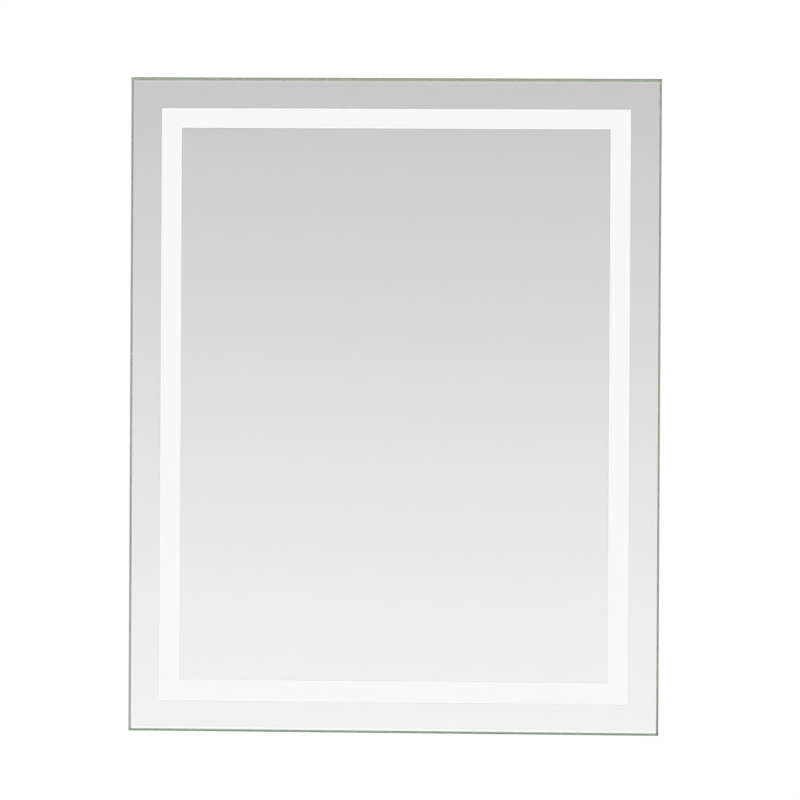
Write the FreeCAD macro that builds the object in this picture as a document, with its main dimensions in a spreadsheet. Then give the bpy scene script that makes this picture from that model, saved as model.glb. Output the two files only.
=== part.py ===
import FreeCAD, Part
import Sketcher
import math
import os

# Lighted bathroom mirror that hangs on a wall rail. Millimetres, +Z up, +X to
# the right of a person who faces the mirror, and the glass faces -Y. The wall
# is the plane y = 0. Depths in the sheet are distances in front of the wall,
# so a depth of 38 lies at y = -38. The origin is the middle of the row of
# screw slots in the wall rail, on the wall plane.

os.makedirs("parts", exist_ok=True)
doc = FreeCAD.newDocument("LightedMirror")
V = FreeCAD.Vector

SIZES = [
    # glass and what lies on its back
    ("glass_width", 650, "glass, left to right"),
    ("glass_height", 800, "glass, bottom to top"),
    ("hang_drop", 86, "slot row of the wall rail below the glass top edge"),
    ("glass_front", 43, "depth of the glass front"),
    ("glass_rear", 38, "depth of the glass back"),
    ("edge_round_front", 1.5, "radius of the ground edge of the glass, front"),
    ("edge_round_rear", 0.7, "the same, back"),
    ("rim_top", 3.85, "glass edge to silvering, top"),
    ("rim_bottom", 2.9, "the same, bottom"),
    ("rim_left", 3.0, "the same, left"),
    ("rim_right", 2.75, "the same, right"),
    ("seal_out", 0.5, "glass edge to the edge seal"),
    ("seal_gap", 0.15, "clear line between edge seal and silvering"),
    ("layer_front", 37.95, "depth of the front of the silvering"),
    ("layer_rear", 37.75, "depth of the back of its paint"),
    ("band_inset", 37.6, "glass edge to lit band"),
    ("band_wide", 24.6, "width of the lit band, sides"),
    ("band_wide_top", 23.9, "width of the lit band, top"),
    ("band_wide_bottom", 25.4, "width of the lit band, bottom"),
    ("diffuser_front", 37.7, "depth of the diffuser front"),
    ("diffuser_rear", 35.7, "depth of the diffuser back"),
    ("diffuser_out", 35.4, "glass edge to diffuser"),
    ("diffuser_in", 66, "glass edge to inner side of diffuser"),
    # frame extrusion, measured inwards from the glass edge
    ("frame_out", 20, "glass edge to outside of frame"),
    ("wall_thick", 1.6, "wall of the extrusion"),
    ("frame_front", 37, "depth of the front lip"),
    ("front_lip_in", 35, "inner edge of the front lip"),
    ("web_front", 24, "depth of the floor of the light channel"),
    ("channel_in", 65.6, "inner side of the light channel"),
    ("seat_rear", 13, "depth of the seat for the back panel"),
    ("seat_in", 52, "inner edge of that seat"),
    ("lip_rear", 2, "depth of the rear lip"),
    ("lip_in", 40, "inner edge of the rear lip"),
    ("screw_line", 46, "glass edge to the line of panel screws"),
    ("vent_long", 25, "air slot, length"),
    ("vent_high", 4, "air slot, height"),
    ("vent_pitch", 80, "air slot, pitch"),
    ("vent_count", 6, "air slots in one side"),
    # corner keys
    ("key_out", 22, "glass edge to corner key"),
    ("key_wide", 16, "width of a key arm"),
    ("key_arm", 45, "length of a key arm"),
    ("key_front", 12.6, "depth of the key front"),
    ("key_rear", 4.0, "depth of the key back"),
    ("key_screw_in", 30, "glass edge to the key screws"),
    ("key_screw_a", 42, "corner to first key screw"),
    ("key_screw_b", 59, "corner to second key screw"),
    ("tape_out", 21, "glass edge to bonding tape"),
    ("tape_in", 34, "glass edge to inner side of tape"),
    ("bumper_radius", 6, "wall bumper"),
    ("bumper_in", 30, "glass edge to bumper, sideways"),
    ("bumper_up", 100, "glass edge to bumper, upwards"),
    # light
    ("strip_out", 45, "glass edge to LED board"),
    ("strip_wide", 10, "width of an LED board"),
    ("strip_thick", 1, "thickness of an LED board"),
    ("strip_end", 68, "glass edge to the end of an LED board"),
    ("chip_long", 3.5, "LED, along the board"),
    ("chip_wide", 2.8, "LED, across the board"),
    ("chip_high", 0.7, "LED, height"),
    ("chip_pitch", 16.5, "LED pitch"),
    ("chips_across", 31, "LEDs on a short board"),
    ("chips_up", 40, "LEDs on a long board"),
    ("wire_radius", 0.8, "LED lead, radius"),
    ("jumper_radius", 0.6, "strip jumper, radius"),
    ("mains_radius", 1.1, "mains and earth lead, radius"),
    # back panel
    ("panel_edge", 40.6, "glass edge to panel"),
    ("panel_thick", 1, "back panel"),
    ("panel_corner", 4, "corner radius of the panel"),
    # driver box, placed from the middle of the mirror
    ("box_up", 100, "middle of the mirror to middle of the box"),
    ("box_wide", 188, "box body, outside"),
    ("box_high", 108, "box body, outside"),
    ("box_wall", 2, "box wall"),
    ("box_front", 33, "depth of the box floor, outside"),
    ("rim_wide", 211, "box rim"),
    ("rim_high", 131, "box rim"),
    ("rim_front", 11.4, "depth of the box rim, front"),
    ("rim_rear", 9.6, "depth of the box rim, back"),
    ("lid_wide", 192, "lid"),
    ("lid_high", 112, "lid"),
    ("lid_rear", 7.6, "depth of the lid back"),
    ("box_screw_x", 100.5, "box screws, sideways from the middle"),
    ("box_screw_z", 60.5, "box screws, upwards from the middle"),
    ("lid_screw_x", 85, "lid screws, sideways"),
    ("lid_screw_z", 45, "lid screws, upwards"),
    ("inlet_x", 67, "cable inlet, sideways"),
    ("inlet_z", 24, "cable inlet, above the middle of the box"),
    ("cable_radius", 4, "bore of the cable inlet"),
    # rails
    ("wall_rail_long", 400, "wall rail"),
    ("hang_rail_long", 440, "hanging rail"),
    ("rail_sheet", 2, "sheet of both rails"),
    ("slot_inner", 60, "inner pair of slots, from the middle"),
    ("slot_outer", 180, "outer pair of slots, from the middle"),
    ("slot_long", 16, "slot, end to end"),
    ("slot_wide", 5.5, "slot, width"),
    ("hook_top", 29, "top of the wall rail's hook above the slots"),
]

sheet = doc.addObject("Spreadsheet::Sheet", "Sizes")
for row, (alias, value, note) in enumerate(SIZES, 1):
    sheet.set("A%d" % row, note)
    sheet.set("B%d" % row, str(value))
    sheet.setAlias("B%d" % row, alias)
doc.recompute()


class Q:
    """A length that carries its number and the sheet formula it comes from."""

    def __init__(self, value, formula):
        self.value = float(value)
        self.formula = formula

    def _join(self, other, sign, swap=False):
        o = other if isinstance(other, Q) else Q(other, repr(float(other)))
        a, b = (o, self) if swap else (self, o)
        number = {"+": lambda: a.value + b.value, "-": lambda: a.value - b.value,
                  "*": lambda: a.value * b.value, "/": lambda: a.value / b.value}[sign]()
        return Q(number, "(%s %s %s)" % (a.formula, sign, b.formula))

    def __add__(self, o): return self._join(o, "+")
    def __radd__(self, o): return self._join(o, "+", True)
    def __sub__(self, o): return self._join(o, "-")
    def __rsub__(self, o): return self._join(o, "-", True)
    def __mul__(self, o): return self._join(o, "*")
    def __rmul__(self, o): return self._join(o, "*", True)
    def __truediv__(self, o): return self._join(o, "/")
    def __neg__(self): return self._join(-1, "*")
    def __float__(self): return self.value


def q(alias):
    return Q(sheet.get(alias), "Sizes." + alias)


def num(x):
    return float(x)


def bind(obj, prop, x):
    if isinstance(x, Q):
        obj.setExpression(prop, x.formula)


# Half sizes of the glass and the height of its middle above the origin.
HW = q("glass_width") / 2
HH = q("glass_height") / 2
MID = q("hang_drop") - HH

made = []          # sub-parts in the order they are written


def body(name, middle=True):
    """A body; with middle it is drawn about the middle of the mirror."""
    b = doc.addObject("PartDesign::Body", name)
    b.Label = name
    if middle:
        b.Placement = FreeCAD.Placement(V(0, 0, num(MID)), FreeCAD.Rotation())
        b.setExpression("Placement.Base.z", MID.formula)
    made.append(b)
    return b


def origin_item(b, role):
    for f in b.Origin.OriginFeatures:
        if f.Role == role:
            return f


def fix(sk, geo, point, x, z):
    """Ties a point of a sketch to the sketch's origin by two distances."""
    for kind, value in (("DistanceX", x), ("DistanceY", z)):
        c = sk.addConstraint(Sketcher.Constraint(kind, -1, 1, geo, point, num(value)))
        if isinstance(value, Q):
            label = "d%d" % c
            sk.renameConstraint(c, label)
            sk.setExpression("Constraints." + label, value.formula)


def sketch(b, name, role, loops, at=(0, 0, 0)):
    """A sketch on an origin plane of its body. A loop is a list of corners, or
    ("circle", x, z, radius), or ("slot", x, z, length, width, across)."""
    sk = b.newObject("Sketcher::SketchObject", name)
    sk.AttachmentSupport = [(origin_item(b, role), "")]
    sk.MapMode = "FlatFace"
    sk.AttachmentOffset = FreeCAD.Placement(V(*[num(a) for a in at]), FreeCAD.Rotation())
    for axis, a in zip("xyz", at):
        bind(sk, "AttachmentOffset.Base." + axis, a)
    for loop in loops:
        first = sk.GeometryCount
        if isinstance(loop, list):
            n = len(loop)
            for i in range(n):
                a, c = loop[i], loop[(i + 1) % n]
                sk.addGeometry(Part.LineSegment(V(num(a[0]), num(a[1]), 0), V(num(c[0]), num(c[1]), 0)))
            for i in range(n):
                sk.addConstraint(Sketcher.Constraint("Coincident", first + i, 2, first + (i + 1) % n, 1))
            for i in range(n):
                fix(sk, first + i, 1, loop[i][0], loop[i][1])
        elif loop[0] == "circle":
            _, x, z, r = loop
            sk.addGeometry(Part.Circle(V(num(x), num(z), 0), V(0, 0, 1), num(r)))
            fix(sk, first, 3, x, z)
            c = sk.addConstraint(Sketcher.Constraint("Radius", first, num(r)))
            if isinstance(r, Q):
                sk.renameConstraint(c, "r%d" % c)
                sk.setExpression("Constraints.r%d" % c, r.formula)
        elif loop[0] == "slot":
            _, x, z, long, wide = loop
            half, r = num(long) / 2 - num(wide) / 2, num(wide) / 2
            x0, z0 = num(x), num(z)
            up = V(0, 0, 1)
            sk.addGeometry(Part.ArcOfCircle(Part.Circle(V(x0 - half, z0, 0), up, r), math.pi / 2, 3 * math.pi / 2))
            sk.addGeometry(Part.ArcOfCircle(Part.Circle(V(x0 + half, z0, 0), up, r), -math.pi / 2, math.pi / 2))
            sk.addGeometry(Part.LineSegment(V(x0 - half, z0 - r, 0), V(x0 + half, z0 - r, 0)))
            sk.addGeometry(Part.LineSegment(V(x0 + half, z0 + r, 0), V(x0 - half, z0 + r, 0)))
            sk.addConstraint(Sketcher.Constraint("Tangent", first, 2, first + 2, 1))
            sk.addConstraint(Sketcher.Constraint("Tangent", first + 2, 2, first + 1, 1))
            sk.addConstraint(Sketcher.Constraint("Tangent", first + 1, 2, first + 3, 1))
            sk.addConstraint(Sketcher.Constraint("Tangent", first + 3, 2, first, 1))
            shift = (long - wide) / 2
            fix(sk, first, 3, x - shift, z)
            fix(sk, first + 1, 3, x + shift, z)
            c = sk.addConstraint(Sketcher.Constraint("Radius", first, r))
            if isinstance(wide, Q):
                sk.renameConstraint(c, "r%d" % c)
                sk.setExpression("Constraints.r%d" % c, (wide / 2).formula)
    return sk


def volume(b):
    doc.recompute()
    return 0.0 if b.Shape.isNull() else b.Shape.Volume


def pad(b, name, loops, rear, front):
    """Material between two depths, drawn in the plane of the wall."""
    sk = sketch(b, b.Name + "_" + name + "_sk", "XZ_Plane", loops, (0, 0, rear))
    f = b.newObject("PartDesign::Pad", b.Name + "_" + name)
    f.Profile = sk
    long = front - rear
    f.Length = num(long)
    bind(f, "Length", long)
    sk.Visibility = False
    return f


def pocket(b, name, loops, front, rear):
    """Removes material between two depths, drawn in the plane of the wall."""
    before = volume(b)
    sk = sketch(b, b.Name + "_" + name + "_sk", "XZ_Plane", loops, (0, 0, front))
    f = b.newObject("PartDesign::Pocket", b.Name + "_" + name)
    f.Profile = sk
    long = front - rear
    f.Length = num(long)
    bind(f, "Length", long)
    if not volume(b) < before - 1e-3:
        raise RuntimeError("pocket removes nothing: " + f.Name)
    return f


def run(b, name, role, loop, long, at=(0, 0, 0)):
    """A profile drawn across a rail and drawn out evenly to both sides."""
    sk = sketch(b, b.Name + "_" + name + "_sk", role, [loop], at)
    f = b.newObject("PartDesign::Pad", b.Name + "_" + name)
    f.Profile = sk
    f.SideType = "Symmetric"
    f.Length = num(long)
    bind(f, "Length", long)
    return f


def side_cut(b, name, role, loops, at, long, reverse=False):
    """Removes material along the normal of an origin plane."""
    before = volume(b)
    sk = sketch(b, b.Name + "_" + name + "_sk", role, loops, at)
    f = b.newObject("PartDesign::Pocket", b.Name + "_" + name)
    f.Profile = sk
    f.Length = num(long)
    bind(f, "Length", long)
    f.Reversed = reverse
    if not volume(b) < before - 1e-3:
        raise RuntimeError("cut removes nothing: " + f.Name)
    return f


def repeat(b, name, originals, nx=1, px=0, nz=1, pz=0):
    """Repeats features along +X and +Z."""
    before = volume(b)
    f = b.newObject("PartDesign::LinearPattern", b.Name + "_" + name)
    f.Originals = originals
    steps = [(n, p, r) for n, p, r in ((nx, px, "X_Axis"), (nz, pz, "Z_Axis")) if num(n) > 1]
    for k, (n, p, r) in enumerate(steps):
        tag = "" if k == 0 else "2"
        setattr(f, "Direction" + tag, (origin_item(b, r), [""]))
        total = p * (n - 1)
        setattr(f, "Length" + tag, num(total))
        bind(f, "Length" + tag, total)
        setattr(f, "Occurrences" + tag, int(num(n)))
    b.Tip = f
    if not abs(volume(b) - before) > 1e-3:
        raise RuntimeError("pattern changes nothing: " + f.Name)
    return f


def edges(shape, test):
    return ["Edge%d" % (i + 1) for i, e in enumerate(shape.Edges) if test(e)]


def along_y(e):
    a, c = e.Vertexes[0].Point, e.Vertexes[-1].Point
    return len(e.Vertexes) == 2 and abs(a.x - c.x) < 1e-6 and abs(a.z - c.z) < 1e-6 and abs(a.y - c.y) > 1e-6


def round_edges(b, name, base, radius, test, kind="PartDesign::Fillet"):
    doc.recompute()
    f = b.newObject(kind, b.Name + "_" + name)
    f.Base = (base, edges(base.Shape, test))
    prop = "Radius" if kind.endswith("Fillet") else "Size"
    setattr(f, prop, num(radius))
    bind(f, prop, radius)
    doc.recompute()
    return f


def rect(x0, z0, x1, z1):
    return [(x0, z0), (x1, z0), (x1, z1), (x0, z1)]


def centred(cx, cz, wide, high):
    return rect(cx - wide / 2, cz - high / 2, cx + wide / 2, cz + high / 2)


def screws(b, name, x, z, seat, head_r, head_h, shank_r, long, nx=1, px=0, nz=1, pz=0):
    """Domed cross-recess screws that are driven from the wall side. The seat is
    the depth of the surface under the head."""
    y = -num(seat)
    crown = 0.65 * head_h
    dome = (head_r * head_r + crown * crown) / (2 * crown)
    sk = b.newObject("Sketcher::SketchObject", b.Name + "_" + name + "_sk")
    sk.AttachmentSupport = [(origin_item(b, "YZ_Plane"), "")]
    sk.MapMode = "FlatFace"
    sk.AttachmentOffset = FreeCAD.Placement(V(0, num(z), num(x)), FreeCAD.Rotation())
    bind(sk, "AttachmentOffset.Base.y", z)
    bind(sk, "AttachmentOffset.Base.z", x)
    seat_y = -seat if isinstance(seat, Q) else Q(-seat, repr(-float(seat)))
    pts = [(seat_y + head_h, 0), (seat_y + (head_h - crown), head_r), (seat_y, head_r), (seat_y, shank_r),
           (seat_y - (long - shank_r), shank_r), (seat_y - long, 0.3 * shank_r), (seat_y - long, 0)]
    cy = y + head_h - dome
    sk.addGeometry(Part.ArcOfCircle(Part.Circle(V(cy, 0, 0), V(0, 0, 1), dome), 0,
                                    math.asin(head_r / dome)))
    for i in range(1, len(pts)):
        a, c = pts[i], pts[(i + 1) % len(pts)]
        sk.addGeometry(Part.LineSegment(V(num(a[0]), a[1], 0), V(num(c[0]), c[1], 0)))
    n = len(pts)
    for i in range(n):
        sk.addConstraint(Sketcher.Constraint("Coincident", i, 2, (i + 1) % n, 1))
    for i in range(n):
        fix(sk, i, 1, pts[i][0], pts[i][1])
    sk.addConstraint(Sketcher.Constraint("PointOnObject", 0, 3, -1))
    f = b.newObject("PartDesign::Revolution", b.Name + "_" + name)
    f.Profile = sk
    f.ReferenceAxis = (sk, ["H_Axis"])
    f.Angle = 360
    a, c = 0.56 * head_r, 0.15 * head_r
    plus = [(-a, -c), (-c, -c), (-c, -a), (c, -a), (c, -c), (a, -c), (a, c), (c, c), (c, a), (-c, a), (-c, c), (-a, c)]
    plus = [(x + u, z + v) for u, v in plus]
    before = volume(b)
    cut = sketch(b, b.Name + "_" + name + "_drive_sk", "XZ_Plane", [plus], (0, 0, seat - head_h))
    k = b.newObject("PartDesign::Pocket", b.Name + "_" + name + "_drive")
    k.Profile = cut
    k.Length = 0.7 * head_h
    k.Reversed = True
    if not volume(b) < before - 1e-4:
        raise RuntimeError("recess removes nothing: " + k.Name)
    if num(nx) > 1 or num(nz) > 1:
        repeat(b, name + "_set", [f, k], nx, px, nz, pz)
    return f


def hexagon(cx, cz, flats):
    r = flats / math.sqrt(3)
    return [(cx + r * math.cos(math.radians(60 * k)), cz + r * math.sin(math.radians(60 * k))) for k in range(6)]


def solid_part(name, shape, middle=True):
    f = doc.addObject("Part::Feature", name)
    f.Label = name
    f.Shape = shape
    if middle:
        f.Placement = FreeCAD.Placement(V(0, 0, num(MID)), FreeCAD.Rotation())
    made.append(f)
    return f


def tube(points, radius, bends):
    """A round wire along straight runs that are joined by tangent arcs."""
    pts = [V(*[num(c) for c in p]) for p in points]
    parts, here = [], pts[0]
    for i in range(1, len(pts) - 1):
        a = (pts[i - 1] - pts[i]).normalize()
        c = (pts[i + 1] - pts[i]).normalize()
        half = a.getAngle(c) / 2
        r = bends[i - 1]
        reach = r / math.tan(half)
        start, end = pts[i] + a * reach, pts[i] + c * reach
        heart = pts[i] + (a + c).normalize() * (r / math.sin(half))
        top = heart + (pts[i] - heart).normalize() * r
        if (start - here).Length > 1e-6:
            parts.append(Part.LineSegment(here, start).toShape())
        parts.append(Part.Arc(start, top, end).toShape())
        here = end
    parts.append(Part.LineSegment(here, pts[-1]).toShape())
    path = Part.Wire(parts)
    ring = Part.Wire([Part.Circle(pts[0], pts[1] - pts[0], radius).toShape()])
    s = path.makePipeShell([ring], True, False)
    if s.ShapeType != "Solid":
        s = Part.Solid(Part.Shell(s.Faces))
    if s.Volume < 0:
        s.reverse()
    ideal = math.pi * radius ** 2 * path.Length
    if abs(s.Volume - ideal) > 0.01 * ideal:
        raise RuntimeError("tube volume %.2f, section times length %.2f" % (s.Volume, ideal))
    print("tube: length %.1f mm, radii %s" % (path.Length, [round(r, 1) for r in bends]))
    return s


# ---------------------------------------------------------------- the glass
glass = body("mirror_glass")
g = pad(glass, "pane", [rect(-HW, -HH, HW, HH)], q("glass_rear"), q("glass_front"))
g = round_edges(glass, "front_edge", g, q("edge_round_front"), lambda e: e.BoundBox.YMax < -num(q("glass_front")) + 1e-4)
round_edges(glass, "rear_edge", g, q("edge_round_rear"), lambda e: e.BoundBox.YMin > -num(q("glass_rear")) - 1e-4)

# Silvering: a plate inside the lit band and a ring outside it. The band
# between them is matt. All lie in one thin layer behind the glass.
bo = q("band_inset")
bi, bi_top, bi_low = bo + q("band_wide"), bo + q("band_wide_top"), bo + q("band_wide_bottom")
lf, lr = q("layer_front"), q("layer_rear")
silver = body("silver_centre")
centre_loop = rect(-(HW - bi), -(HH - bi_low), HW - bi, HH - bi_top)
pad(silver, "plate", [centre_loop], lr, lf)
band = body("frosted_band")
pad(band, "ring", [rect(-(HW - bo), -(HH - bo), HW - bo, HH - bo), centre_loop], lr, lf)
border = body("silver_border")
pad(border, "ring", [rect(-(HW - q("rim_left")), -(HH - q("rim_bottom")), HW - q("rim_right"), HH - q("rim_top")),
                     rect(-(HW - bo), -(HH - bo), HW - bo, HH - bo)], lr, lf)
# Lacquer that seals the bare margin against damp.
seal = body("edge_seal")
sgap, sout = q("seal_gap"), q("seal_out")
pad(seal, "ring", [rect(-(HW - sout), -(HH - sout), HW - sout, HH - sout),
                   rect(-(HW - q("rim_left") + sgap), -(HH - q("rim_bottom") + sgap),
                        HW - q("rim_right") + sgap, HH - q("rim_top") + sgap)], lr, lf)

# ------------------------------------------------------------ the diffusers
a, c = q("diffuser_out"), q("diffuser_in")
for name, loop in (
        ("diffuser_top", [(-(HW - a), HH - a), (-(HW - c), HH - c), (HW - c, HH - c), (HW - a, HH - a)]),
        ("diffuser_bottom", [(-(HW - a), -(HH - a)), (HW - a, -(HH - a)), (HW - c, -(HH - c)), (-(HW - c), -(HH - c))]),
        ("diffuser_left", [(-(HW - a), -(HH - a)), (-(HW - c), -(HH - c)), (-(HW - c), HH - c), (-(HW - a), HH - a)]),
        ("diffuser_right", [(HW - a, -(HH - a)), (HW - a, HH - a), (HW - c, HH - c), (HW - c, -(HH - c))])):
    pad(body(name), "strip", [loop], q("diffuser_rear"), q("diffuser_front"))

# Foam tape between the silvered back of the glass and the frame's front lip.
tape = body("bonding_tape")
to, ti = q("tape_out"), q("tape_in")
gap = 0.5
pad(tape, "strips", [
    rect(-(HW - to), HH - ti, HW - to, HH - to),
    rect(-(HW - to), -(HH - to), HW - to, -(HH - ti)),
    rect(-(HW - to), -(HH - ti - gap), -(HW - ti), HH - ti - gap),
    rect(HW - ti, -(HH - ti - gap), HW - to, HH - ti - gap)], q("frame_front"), lr)

# ---------------------------------------------------------------- the frame
fo, t = q("frame_out"), q("wall_thick")
ff, fl, wf, ci = q("frame_front"), q("front_lip_in"), q("web_front"), q("channel_in")
sr, si, lb, li = q("seat_rear"), q("seat_in"), q("lip_rear"), q("lip_in")
# Section of the extrusion as (distance inwards, depth).
SECTION = [(fo, ff), (fl, ff), (fl, ff - t), (fo + t, ff - t), (fo + t, wf), (ci - t, wf), (ci - t, q("diffuser_rear")),
           (ci, q("diffuser_rear")), (ci, wf - t), (fo + t, wf - t), (fo + t, sr + t), (si, sr + t), (si, sr),
           (fo + t, sr), (fo + t, lb + t), (li, lb + t), (li, lb), (fo, lb)]
ks, ka, kb = q("key_screw_in"), q("key_screw_a"), q("key_screw_b")
sl = q("screw_line")
wide2, high2 = (HW - fo) * 2, (HH - fo) * 2
vent_mid = (wf - t + sr + t) / 2

for name, sign in (("frame_top", 1), ("frame_bottom", -1)):
    m = body(name)
    run(m, "bar", "YZ_Plane", [(-d, sign * (HH - u)) for u, d in SECTION], wide2)
    far, near = 15, 72
    for tag, side in (("l", -1), ("r", 1)):
        pocket(m, "mitre_" + tag, [[(side * (HW - far), sign * (HH - far)), (side * (HW - far), sign * (HH - near)),
                                    (side * (HW - near), sign * (HH - near))]], ff + 1, lb - 1)
    # air slots in the outer wall, in the room between light channel and panel seat
    first = -q("vent_pitch") * (q("vent_count") - 1) / 2
    v = side_cut(m, "vent", "XY_Plane", [("slot", first, -vent_mid, q("vent_long"), q("vent_high"))],
                 (0, 0, HH - fo + 1 if sign > 0 else -(HH - fo - t - 1)), t + 2)
    repeat(m, "vents", [v], q("vent_count"), q("vent_pitch"))
    # screw holes for the corner keys, for the back panel and, at the top, for the hanging rail
    pocket(m, "key_holes", [("circle", s * (HW - k), sign * (HH - ks), 1.5) for s in (-1, 1) for k in (ka, kb)],
           lb + t + 0.3, lb - 0.3)
    if sign > 0:
        holes = [("circle", s * 250, HH - sl, 1.5) for s in (-1, 1)]
        holes += [("circle", s * q(k), HH - sl, 2.1) for s in (-1, 1) for k in ("slot_inner", "slot_outer")]
        pocket(m, "panel_holes", holes, sr + t + 0.3, sr - 0.3)
        # way through the floor of the light channel for the LED leads
        pocket(m, "lead_hole", [("circle", -266, HH - 46.9, 3.4)], wf + 0.3, wf - t - 0.3)
    else:
        pocket(m, "panel_holes", [("circle", s * k, -(HH - sl), 1.5) for s in (-1, 1) for k in (84, 250)],
               sr + t + 0.3, sr - 0.3)

for name, sign in (("frame_left", -1), ("frame_right", 1)):
    m = body(name)
    run(m, "bar", "XY_Plane", [(sign * (HW - u), -d) for u, d in SECTION], high2)
    far, near = 15, 72
    for tag, side in (("b", -1), ("t", 1)):
        pocket(m, "mitre_" + tag, [[(sign * (HW - far), side * (HH - far)), (sign * (HW - near), side * (HH - near)),
                                    (sign * (HW - near), side * (HH - far))]], ff + 1, lb - 1)
    pocket(m, "key_holes", [("circle", sign * (HW - ks), s * (HH - k), 1.5) for s in (-1, 1) for k in (ka, kb)],
           lb + t + 0.3, lb - 0.3)
    pocket(m, "panel_holes", [("circle", sign * (HW - sl), s * k, 1.5) for s in (-1, 1) for k in (80, 240)],
           sr + t + 0.3, sr - 0.3)

# Corner keys in the rear channel, each held by two screws in each arm.
ko, kw, arm = q("key_out"), q("key_wide"), q("key_arm")
keys = body("corner_keys")
loops = []
for sx in (-1, 1):
    for sz in (-1, 1):
        loops.append([(sx * (HW - ko), sz * (HH - ko)), (sx * (HW - ko), sz * (HH - ko - arm)),
                      (sx * (HW - ko - kw), sz * (HH - ko - arm)), (sx * (HW - ko - kw), sz * (HH - ko - kw)),
                      (sx * (HW - ko - arm), sz * (HH - ko - kw)), (sx * (HW - ko - arm), sz * (HH - ko))])
pad(keys, "elbows", loops, q("key_rear"), q("key_front"))
pocket(keys, "holes", [("circle", sx * (HW - u), sz * (HH - w), 1.35)
                       for sx in (-1, 1) for sz in (-1, 1) for u, w in ((ks, ka), (ks, kb), (ka, ks), (kb, ks))],
       q("key_front") + 0.5, q("key_rear") - 0.5)

kscrews = body("corner_key_screws")
for i, (u, w) in enumerate(((ks, ka), (ks, kb), (ka, ks), (kb, ks))):
    screws(kscrews, "s%d" % i, -(HW - u), -(HH - w), lb, 2.7, 1.5, 1.3, 8, 2, (HW - u) * 2, 2, (HH - w) * 2)

bumpers = body("wall_bumpers")
bx, bz = HW - q("bumper_in"), HH - q("bumper_up")
bp = pad(bumpers, "discs", [("circle", sx * bx, sz * bz, q("bumper_radius")) for sx in (-1, 1) for sz in (-1, 1)], 0, lb)
round_edges(bumpers, "soft", bp, 0.6, lambda e: abs(e.BoundBox.YMax) < 1e-6 and e.BoundBox.YLength < 1e-6)

# ---------------------------------------------------------------- the light
so, sw, se = q("strip_out"), q("strip_wide"), q("strip_end")
st = wf + q("strip_thick")
for name, loop in (
        ("led_strip_top", rect(-(HW - se), HH - so - sw, HW - se, HH - so)),
        ("led_strip_bottom", rect(-(HW - se), -(HH - so), HW - se, -(HH - so - sw))),
        ("led_strip_left", rect(-(HW - so), -(HH - se), -(HW - so - sw), HH - se)),
        ("led_strip_right", rect(HW - so - sw, -(HH - se), HW - so, HH - se))):
    pad(body(name), "board", [loop], wf, st)

chips = body("led_chips")
cl, cw, cp = q("chip_long"), q("chip_wide"), q("chip_pitch")
sm = so + sw / 2
cf = st + q("chip_high")
p = pad(chips, "across", [centred(-cp * (q("chips_across") - 1) / 2, -(HH - sm), cl, cw)], st, cf)
repeat(chips, "across_set", [p], q("chips_across"), cp, 2, (HH - sm) * 2)
p = pad(chips, "up", [centred(-(HW - sm), -cp * (q("chips_up") - 1) / 2, cw, cl)], st, cf)
repeat(chips, "up_set", [p], 2, (HW - sm) * 2, q("chips_up"), cp)

# Pairs of wires that carry the supply round three corners, from board to board.
jr = num(q("jumper_radius"))
jd = -(num(st) + jr)
x_end, z_end = num(HW) - 70, num(HH) - 70
links = []
for sx, sz in ((-1, 1), (-1, -1), (1, -1)):
    for off, bend in ((51.2, 14), (53.2, 12)):
        xo, zo = num(HW) - off, num(HH) - off
        links.append(tube([(sx * x_end, jd, sz * zo), (sx * xo, jd, sz * zo), (sx * xo, jd, sz * z_end)], jr, [bend]))
solid_part("strip_jumpers", Part.makeCompound(links))

# ----------------------------------------------------------- the back panel
pe, pt = q("panel_edge"), q("panel_thick")
pr = sr - pt                      # depth of the panel's back
bu = q("box_up")
zero = Q(0, "0")
panel = body("back_panel")
f = pad(panel, "sheet", [rect(-(HW - pe), -(HH - pe), HW - pe, HH - pe)], pr, sr)
f = round_edges(panel, "corners", f, q("panel_corner"), along_y)
pocket(panel, "opening", [centred(Q(0, "0"), bu, q("box_wide") + 2, q("box_high") + 2)], sr + 0.5, pr - 0.5)
holes = [("circle", s * 250, HH - sl, 1.7) for s in (-1, 1)]
holes += [("circle", s * k, -(HH - sl), 1.7) for s in (-1, 1) for k in (84, 250)]
holes += [("circle", sx * (HW - sl), sz * k, 1.7) for sx in (-1, 1) for sz in (-1, 1) for k in (80, 240)]
holes += [("circle", s * q(k), HH - sl, 2.1) for s in (-1, 1) for k in ("slot_inner", "slot_outer")]
holes += [("circle", sx * q("box_screw_x"), bu + sz * q("box_screw_z"), 1.5) for sx in (-1, 1) for sz in (-1, 1)]
pocket(panel, "holes", holes, sr + 0.5, pr - 0.5)
# three pressed beads that stiffen the sheet below the box
bead = pad(panel, "beads", [("slot", zero, bu - k, Q(400, "400"), Q(14, "14")) for k in (150, 250, 350)], pr - 1.6, pr + 0.2)
round_edges(panel, "bead_round", bead, 1.3, lambda e: abs(e.BoundBox.YMax + num(pr) - 1.6) < 1e-6 and e.BoundBox.YLength < 1e-6)
# groups of air slots left and right of the box
v = pocket(panel, "air_l", [("slot", Q(-205, "-205"), bu - 36, 32, 3)], sr + 0.5, pr - 0.5)
repeat(panel, "air_l_set", [v], 1, 0, 7, Q(12, "12"))
v = pocket(panel, "air_r", [("slot", Q(205, "205"), bu - 36, 32, 3)], sr + 0.5, pr - 0.5)
repeat(panel, "air_r_set", [v], 1, 0, 7, Q(12, "12"))

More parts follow.
